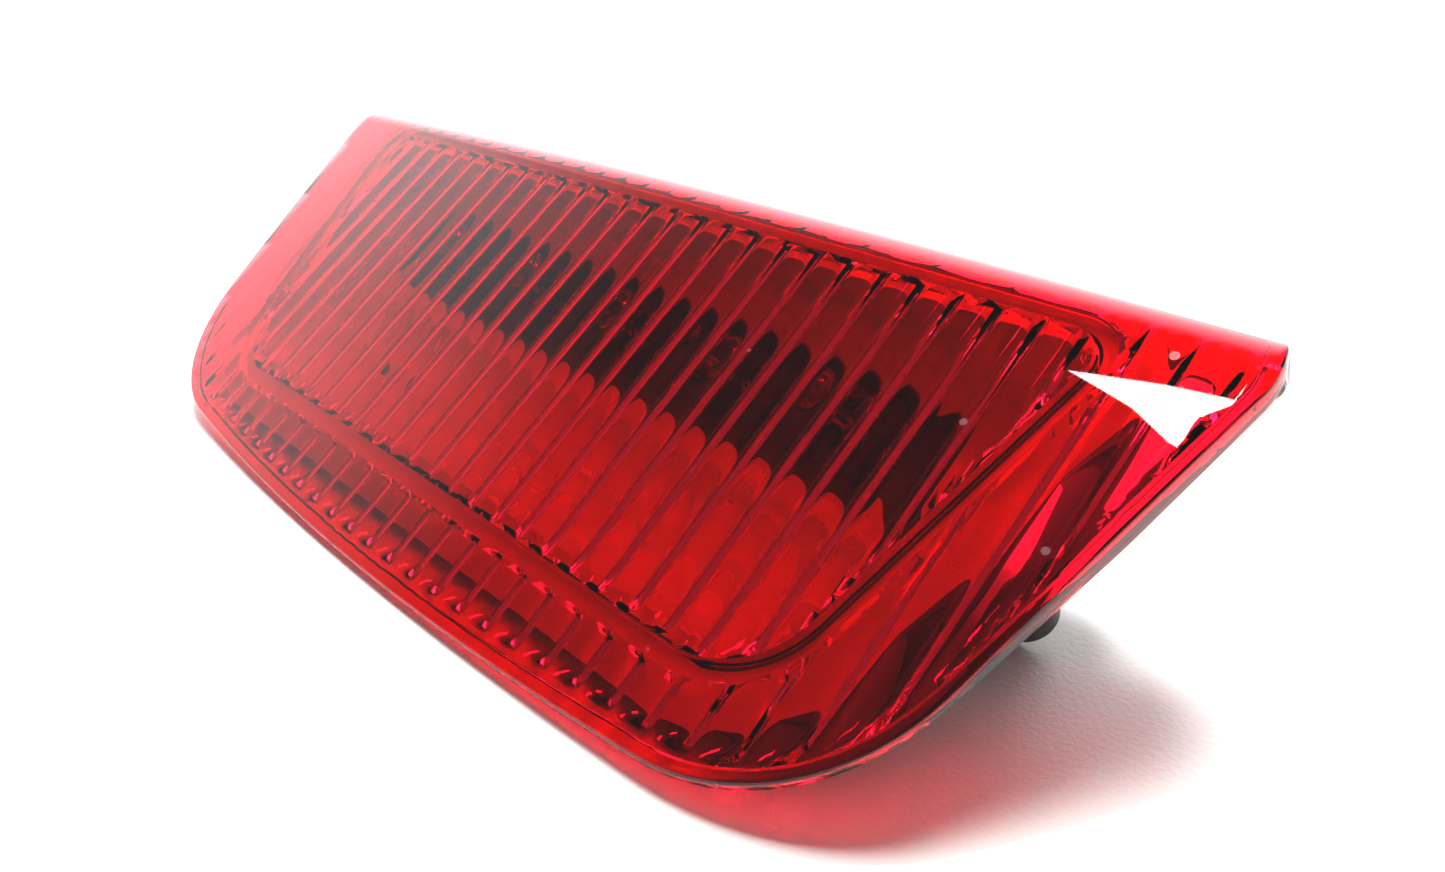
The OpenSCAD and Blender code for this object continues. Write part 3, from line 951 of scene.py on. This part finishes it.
def eased(node, width, body, slot):
    """A copy of a moulded part with its edges eased; where that can't be done cleanly, the part stays."""
    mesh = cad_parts[node].data.copy()
    work = bmesh.new()
    work.from_mesh(mesh)
    bmesh.ops.remove_doubles(work, verts=work.verts, dist=0.000004)
    bmesh.ops.dissolve_limit(work, angle_limit=radians(1.0), verts=work.verts, edges=work.edges)
    work.to_mesh(mesh)
    work.free()
    piece = bpy.data.objects.new("eased", mesh)
    bpy.context.scene.collection.objects.link(piece)
    edge = piece.modifiers.new("Edge", "BEVEL")
    edge.width = width
    edge.segments = 2
    edge.limit_method = "ANGLE"
    edge.angle_limit = radians(50)
    edge.use_clamp_overlap = True
    result = bpy.data.meshes.new_from_object(piece.evaluated_get(bpy.context.evaluated_depsgraph_get()))
    bpy.data.objects.remove(piece)
    if not closed(result):
        bpy.data.meshes.remove(result)
        print(f"{node} keeps its plain edges")
        return
    result.name = node
    new_piece(f"{node}_moulded", result, body, slot, node, smooth=32)


def tube(points, radius, sides=8):
    """A closed round wire along points, in the row frame; gives points and faces."""
    places, faces = [], []
    for i, point in enumerate(points):
        ahead = (points[min(i + 1, len(points) - 1)] - points[max(i - 1, 0)]).normalized()
        across = ahead.cross(Vector((0.3, 0.5, 0.81))).normalized()
        over = ahead.cross(across)
        for k in range(sides):
            a = 2 * pi * k / sides
            places.append(point + (across * cos(a) + over * sin(a)) * radius)
    for i in range(len(points) - 1):
        for k in range(sides):
            n = (k + 1) % sides
            faces.append((i * sides + k, i * sides + n, (i + 1) * sides + n, (i + 1) * sides + k))
    last = (len(points) - 1) * sides
    faces += [tuple(reversed(range(sides))), tuple(range(last, last + sides))]
    return places, faces


def joined(parts):
    """One list of points and faces from several."""
    points, faces = [], []
    for more_points, more_faces in parts:
        base = len(points)
        points += more_points
        faces += [tuple(base + i for i in face) for face in more_faces]
    return points, faces


def turned_out(mesh):
    """Faces pointing outwards."""
    work = bmesh.new()
    work.from_mesh(mesh)
    bmesh.ops.recalc_face_normals(work, faces=work.faces)
    work.to_mesh(mesh)
    work.free()
    return mesh


def swept_ring(inner, outer, section):
    """A closed ring between two loops of equal count; the section gives shares across and depths."""
    count = len(inner)
    points = [seat(a[0] + (b[0] - a[0]) * share, a[1] + (b[1] - a[1]) * share, depth)
              for share, depth in section for a, b in zip(inner, outer)]
    faces = []
    for k in range(len(section)):
        for i in range(count):
            j, n = (i + 1) % count, (k + 1) % len(section)
            faces.append((k * count + i, k * count + j, n * count + j, n * count + i))
    return points, faces


def coil_tree(material):
    """Geometry Nodes: a filament coil, added to the leads that it hangs between."""
    tree, made, inlet, outlet = shape_tree("Filament Coil", ("Turns", "Float", 14.0),
                                           ("Coil radius", "Float", 0.00038), ("Length", "Float", 0.0044),
                                           ("Wire radius", "Float", 0.00009), ("Place", "Vector", (0, 0, 0)))
    spiral = tree.nodes.new("GeometryNodeCurveSpiral")
    spiral.inputs["Resolution"].default_value = 10
    tree.links.new(inlet.outputs["Turns"], spiral.inputs["Rotations"])
    tree.links.new(inlet.outputs["Coil radius"], spiral.inputs["Start Radius"])
    tree.links.new(inlet.outputs["Coil radius"], spiral.inputs["End Radius"])
    tree.links.new(inlet.outputs["Length"], spiral.inputs["Height"])
    ring = tree.nodes.new("GeometryNodeCurvePrimitiveCircle")
    ring.inputs["Resolution"].default_value = 6
    tree.links.new(inlet.outputs["Wire radius"], ring.inputs["Radius"])
    wire = tree.nodes.new("GeometryNodeCurveToMesh")
    wire.inputs["Fill Caps"].default_value = True
    tree.links.new(spiral.outputs[0], wire.inputs["Curve"])
    tree.links.new(ring.outputs[0], wire.inputs["Profile Curve"])
    lay = tree.nodes.new("GeometryNodeTransform")
    lay.inputs["Rotation"].default_value = (0, pi / 2, 0)
    tree.links.new(wire.outputs[0], lay.inputs["Geometry"])
    tree.links.new(inlet.outputs["Place"], lay.inputs["Translation"])
    both = tree.nodes.new("GeometryNodeJoinGeometry")
    tree.links.new(inlet.outputs["Geometry"], both.inputs[0])
    tree.links.new(lay.outputs[0], both.inputs[0])
    end_tree(tree, both.outputs[0], material, outlet)
    return tree, made


def fin_tree(material):
    """Geometry Nodes: one low rounded fin, repeated in a row along the lamp."""
    tree, made, inlet, outlet = shape_tree("Stiffening Fins", ("Count", "Int", 5),
                                           ("Spacing", "Float", 0.014))
    step = tree.nodes.new("ShaderNodeCombineXYZ")
    tree.links.new(inlet.outputs["Spacing"], step.inputs["X"])
    row = tree.nodes.new("GeometryNodeMeshLine")
    row.mode = "OFFSET"
    tree.links.new(inlet.outputs["Count"], row.inputs["Count"])
    tree.links.new(step.outputs[0], row.inputs["Offset"])
    place = tree.nodes.new("GeometryNodeInstanceOnPoints")
    tree.links.new(row.outputs[0], place.inputs["Points"])
    tree.links.new(inlet.outputs["Geometry"], place.inputs["Instance"])
    end_tree(tree, place.outputs[0], material, outlet)
    return tree, made


def fin_mesh(x, width, path, height):
    """A low fin that stands off a straight wall by height; path is its start and end as (y, depth)."""
    (ya, da), (yb, db) = path
    along = Vector((yb - ya, db - da)).normalized()
    out = Vector((-along.y, along.x))
    points, faces = [], []
    shares = (0, 0.04, 0.12, 0.88, 0.96, 1)
    lifts = (0.02, 0.6, 1, 1, 0.6, 0.02)
    for share, lift in zip(shares, lifts):
        y, d = ya + (yb - ya) * share, da + (db - da) * share
        top = lift * height
        for side, up in ((-1, -0.3), (-1, top * 0.75), (-0.6, top), (0.6, top), (1, top * 0.75), (1, -0.3)):
            points.append(seat(x + side * width / 2, y + out.x * up, d + out.y * up))
    n = 6
    for i in range(len(shares) - 1):
        for k in range(n):
            j = (k + 1) % n
            faces.append((i * n + k, i * n + j, (i + 1) * n + j, (i + 1) * n + k))
    last = (len(shares) - 1) * n
    faces += [tuple(reversed(range(n))), tuple(range(last, last + n))]
    return turned_out(mesh_of("fin", points, faces))


class THIRDLIGHT_OT_gaskets(bpy.types.Operator):
    """Builds the foam gasket round the housing"""
    bl_idname = "third_light.gaskets"
    bl_label = "Gasket"

    def execute(self, context):
        inner = rib_loop(0.45)
        outer = [(x, min(y, 92.75)) for x, y in rib_loop(5.5)]
        section = [(0.0, 9.1), (0.05, 8.7), (0.16, 8.52), (0.84, 8.52), (0.95, 8.7), (1.0, 9.15),
                   (1.02, 10.0), (1.0, 10.8), (0.93, 11.25), (0.8, 11.45), (0.5, 11.5), (0.2, 11.45),
                   (0.07, 11.25), (0.0, 10.8), (-0.01, 10.0)]
        points, faces = swept_ring(inner, outer, section)
        mesh = turned_out(mesh_of("Foam Gasket", points, faces))
        piece = new_piece("foam_gasket", mesh, "lamp", "foam", "body_gasket", smooth=60)
        return {"FINISHED"}


class THIRDLIGHT_OT_bulbs(bpy.types.Operator):
    """Builds each bulb's leads, folded wires and coiled filament"""
    bl_idname = "third_light.bulbs"
    bl_label = "Bulb wires"

    def execute(self, context):
        tree, made = coil_tree(FINISHES["bulb_wire"])
        for i in BULBS:
            x = (i - 3) * BULB_PITCH
            parts = []
            for side in (-1, 1):
                lead = [(2.2, 0.0, 32.55), (2.25, 0.0, 31.0), (2.45, 0.05, 29.0), (2.5, 0.0, 27.2),
                        (2.2, 0.0, 26.35), (2.0, 0.0, 26.0)]
                parts.append(tube([seat(x + side * a, BULB_Y + b, d) for a, b, d in lead], 0.22 * MM))
                fold = [(2.6, 1.25, 42.9), (2.6, 1.38, 42.4), (2.6, 1.42, 41.0), (2.55, 1.42, 39.0),
                        (2.45, 1.42, 37.2), (2.3, 1.30, 36.6)]
                parts.append(tube([seat(x + side * a, BULB_Y + side * b, d) for a, b, d in fold], 0.2 * MM))
            bead = [seat(x + a, BULB_Y, 30.2) for a in (-2.7, -2.5, 0, 2.5, 2.7)]
            parts.append(tube(bead, 0.55 * MM, 10))
            base = mesh_of("leads", *joined(parts))
            mesh = baked(f"Bulb Wires {i}", base, tree, {made["Place"]: tuple(seat(x - 2.2, BULB_Y, 26.0))})
            new_piece(f"bulb_wires_wound_{i}", turned_out(mesh), f"bulb_{i}", "bulb_wire",
                      f"bulb_wires_{i}", smooth=50)
        return {"FINISHED"}


class THIRDLIGHT_OT_fins(bpy.types.Operator):
    """Builds the stiffening fins on the housing's sloping wall"""
    bl_idname = "third_light.fins"
    bl_label = "Stiffening fins"

    def execute(self, context):
        tree, made = fin_tree(FINISHES["housing_black"])
        slope = ((20.5, 13.24), (46.5, 32.59))
        for name, start, count in (("fins_left", -68.0, 2), ("fins_right", -26.0, 8)):
            base = fin_mesh(start, 1.6, slope, 1.3)
            mesh = baked(name, base, tree, {made["Count"]: count, made["Spacing"]: 0.0135})
            new_piece(f"housing_{name}", mesh, "lamp", "housing_black", smooth=30)
        return {"FINISHED"}


class THIRDLIGHT_OT_mouldings(bpy.types.Operator):
    """Eases the edges of the moulded and stamped parts"""
    bl_idname = "third_light.mouldings"
    bl_label = "Moulded edges"

    def execute(self, context):
        for node, width, body in EASED:
            eased(node, width * MM, body, slot_of(node))
        return {"FINISHED"}


class THIRDLIGHT_OT_finishes(bpy.types.Operator):
    """Makes the finishes and gives each part of the frame its own"""
    bl_idname = "third_light.finishes"
    bl_label = "Finishes"

    def execute(self, context):
        make_finishes(context.scene)
        for slot, nodes in FINISH_OF.items():
            for node in nodes:
                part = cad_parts[node]
                if not part.material_slots:
                    part.data.materials.append(FINISHES[slot])
                for place in part.material_slots:
                    place.material = FINISHES[slot]
        return {"FINISHED"}


# ---------------------------------------------------------------- stage

def floor_finish():
    """Pale painted board, with a fine tooth and a few fine scratches, and a painted glow that grows with
    distance from its middle, where the lamp lies.
    """
    material, tree, shader = finish("Pale Board")
    where = object_place(tree)
    tooth = noise(tree, where, 900.0, 4.0, 0.6)
    cloud = noise(tree, where, 9.0, 3.0)
    rubbed = effect(tree, "Fine Scratches", scratch_group, Amount=0.5)
    base = blend_colour(tree, cloud, (0.86, 0.855, 0.84), (0.80, 0.79, 0.775))
    base = blend_colour(tree, sums(tree, "MULTIPLY", rubbed["Lines"], 0.35), base, (0.5, 0.47, 0.44))
    tree.links.new(base, shader.inputs["Base Color"])
    tree.links.new(sums(tree, "ADD", sums(tree, "MULTIPLY", tooth, 0.2), 0.45), shader.inputs["Roughness"])
    tree.links.new(bump(tree, tooth, 0.4, 0.0004), shader.inputs["Normal"])
    # Painted light: the board glows, from nothing within 0.3 m of its middle to an even white glow from 1.5 m
    # out
    far = tree.nodes.new("ShaderNodeVectorMath")
    far.operation = "LENGTH"
    tree.links.new(where, far.inputs[0])
    shader.inputs["Emission Color"].default_value = (1, 1, 1, 1)
    tree.links.new(ramp(tree, far.outputs["Value"], 0.3, 1.5, 0.0, 1.1), shader.inputs["Emission Strength"])
    return material


def soft_pane(name, corners, strength):
    """A flat glowing pane above the lamp."""
    mesh = mesh_of(name, corners, [tuple(range(len(corners)))])
    material = bpy.data.materials.new(name)
    material.use_nodes = True
    tree = material.node_tree
    tree.nodes.clear()
    glow = tree.nodes.new("ShaderNodeEmission")
    glow.inputs["Strength"].default_value = strength
    tree.links.new(glow.outputs[0], tree.nodes.new("ShaderNodeOutputMaterial").inputs["Surface"])
    mesh.materials.append(material)
    pane = bpy.data.objects.new(name, mesh)
    bpy.context.scene.collection.objects.link(pane)


def soft_light(name, place, target, power, width, height, colour=(1, 1, 1)):
    lamp = bpy.data.lights.new(name, "AREA")
    lamp.shape = "RECTANGLE"
    lamp.size, lamp.size_y = width, height
    lamp.energy = power
    lamp.color = colour
    light = bpy.data.objects.new(name, lamp)
    light.location = place
    light.rotation_euler = (Vector(target) - Vector(place)).to_track_quat("-Z", "Y").to_euler()
    # Hidden from reflections: the lens's gloss would show it as a hard white square
    light.visible_glossy = False
    bpy.context.scene.collection.objects.link(light)


class THIRDLIGHT_OT_stage(bpy.types.Operator):
    """Sets the floor, the room's light and the camera"""
    bl_idname = "third_light.stage"
    bl_label = "Stage"

    def execute(self, context):
        settings = context.scene.third_light_stage
        side = 5.0
        corners = [(-side, -side, 0), (side, -side, 0), (side, side, 0), (-side, side, 0)]
        mesh = mesh_of("Floor", corners, [(0, 1, 2, 3)])
        floor = bpy.data.objects.new("floor", mesh)
        mesh.materials.append(floor_finish())
        context.scene.collection.objects.link(floor)

        world = bpy.data.worlds.new("Pale Room")
        world.use_nodes = True
        tree = world.node_tree
        split = tree.nodes.new("ShaderNodeSeparateXYZ")
        tree.links.new(tree.nodes.new("ShaderNodeTexCoord").outputs["Generated"], split.inputs[0])
        glow = ramp(tree, sums(tree, "MULTIPLY", split.outputs["X"], -1.0), 0.72, 0.97)
        glow = sums(tree, "MULTIPLY", glow, ramp(tree, split.outputs["Z"], 0.0, 0.2))
        toward = tree.nodes.new("ShaderNodeVectorMath")
        toward.operation = "DOT_PRODUCT"
        toward.inputs[1].default_value = (-0.67, 0.69, 0.27)
        tree.links.new(split.inputs[0].links[0].from_socket, toward.inputs[0])
        wall = ramp(tree, toward.outputs["Value"], 0.55, 0.95)
        glow = sums(tree, "ADD", sums(tree, "MULTIPLY", glow, 1.7), sums(tree, "MULTIPLY", wall, 2.8))
        level = sums(tree, "ADD", sums(tree, "MULTIPLY", glow, settings.room), 0.22 * settings.room)
        seen = tree.nodes.new("ShaderNodeLightPath").outputs["Is Camera Ray"]
        level = sums(tree, "MAXIMUM", level, seen)
        background = tree.nodes["Background"]
        background.inputs["Color"].default_value = (0.97, 0.98, 1.0, 1)
        tree.links.new(level, background.inputs["Strength"])
        context.scene.world = world
        high = 1.46
        soft_light("key", (-0.05, 0.13, high), (0.05, 0, 0.02), settings.key, 0.5, 0.5, (1.0, 0.985, 0.96))
        pane = ((-0.515, -0.197), (-0.365, -0.172), (-0.20, -0.155),
                (-0.18, -0.31), (-0.325, -0.257), (-0.40, -0.222))
        soft_pane("window", [(x, y, high) for x, y in pane], 24)

        shot = bpy.data.cameras.new("camera")
        shot.lens = settings.lens_mm
        shot.sensor_width = 36
        shot.clip_start = 0.01
        camera = bpy.data.objects.new("camera", shot)
        right = Vector((0.6904, 0.5898, -0.4189))
        down = Vector((0.3197, -0.7682, -0.5546))
        ahead = Vector((-0.6489, 0.2490, -0.7190))
        turn = Matrix((right, -down, -ahead)).transposed()
        camera.matrix_world = Matrix.Translation(seat(161.7, 7.45, -119.85)) @ (seat_turn() @ turn).to_4x4()
        context.scene.collection.objects.link(camera)
        context.scene.camera = camera
        context.scene.view_settings.view_transform = "Standard"
        return {"FINISHED"}


# ---------------------------------------------------------------- panel

OPERATORS = (THIRDLIGHT_OT_finishes, THIRDLIGHT_OT_lens, THIRDLIGHT_OT_gaskets, THIRDLIGHT_OT_bulbs,
             THIRDLIGHT_OT_fins, THIRDLIGHT_OT_mouldings, THIRDLIGHT_OT_stage)


class THIRDLIGHT_PT_panel(bpy.types.Panel):
    bl_label = "Third Brake Light"
    bl_idname = "THIRDLIGHT_PT_panel"
    bl_space_type = "VIEW_3D"
    bl_region_type = "UI"
    bl_category = "Brake Light"

    def draw(self, context):
        scene = context.scene
        for title, owner in (("Lens", scene.third_light_lens), ("Finishes", scene.third_light_finish),
                             ("Stage", scene.third_light_stage)):
            box = self.layout.box()
            box.label(text=title)
            for name in owner.__annotations__:
                box.prop(owner, name)
        for operator in OPERATORS:
            self.layout.operator(operator.bl_idname)


CLASSES = (LensSettings, FinishSettings, StageSettings, *OPERATORS, THIRDLIGHT_PT_panel)


def register():
    for item in CLASSES:
        bpy.utils.register_class(item)
    bpy.types.Scene.third_light_lens = PointerProperty(type=LensSettings)
    bpy.types.Scene.third_light_finish = PointerProperty(type=FinishSettings)
    bpy.types.Scene.third_light_stage = PointerProperty(type=StageSettings)


def unregister():
    for name in ("third_light_lens", "third_light_finish", "third_light_stage"):
        delattr(bpy.types.Scene, name)
    for item in reversed(CLASSES):
        bpy.utils.unregister_class(item)


def main():
    """Builds the lamp's finished pieces on the frame and sets the stage."""
    register()
    for operator in OPERATORS:
        family, name = operator.bl_idname.split(".")
        getattr(getattr(bpy.ops, family), name)()


if __name__ == "__main__":
    main()
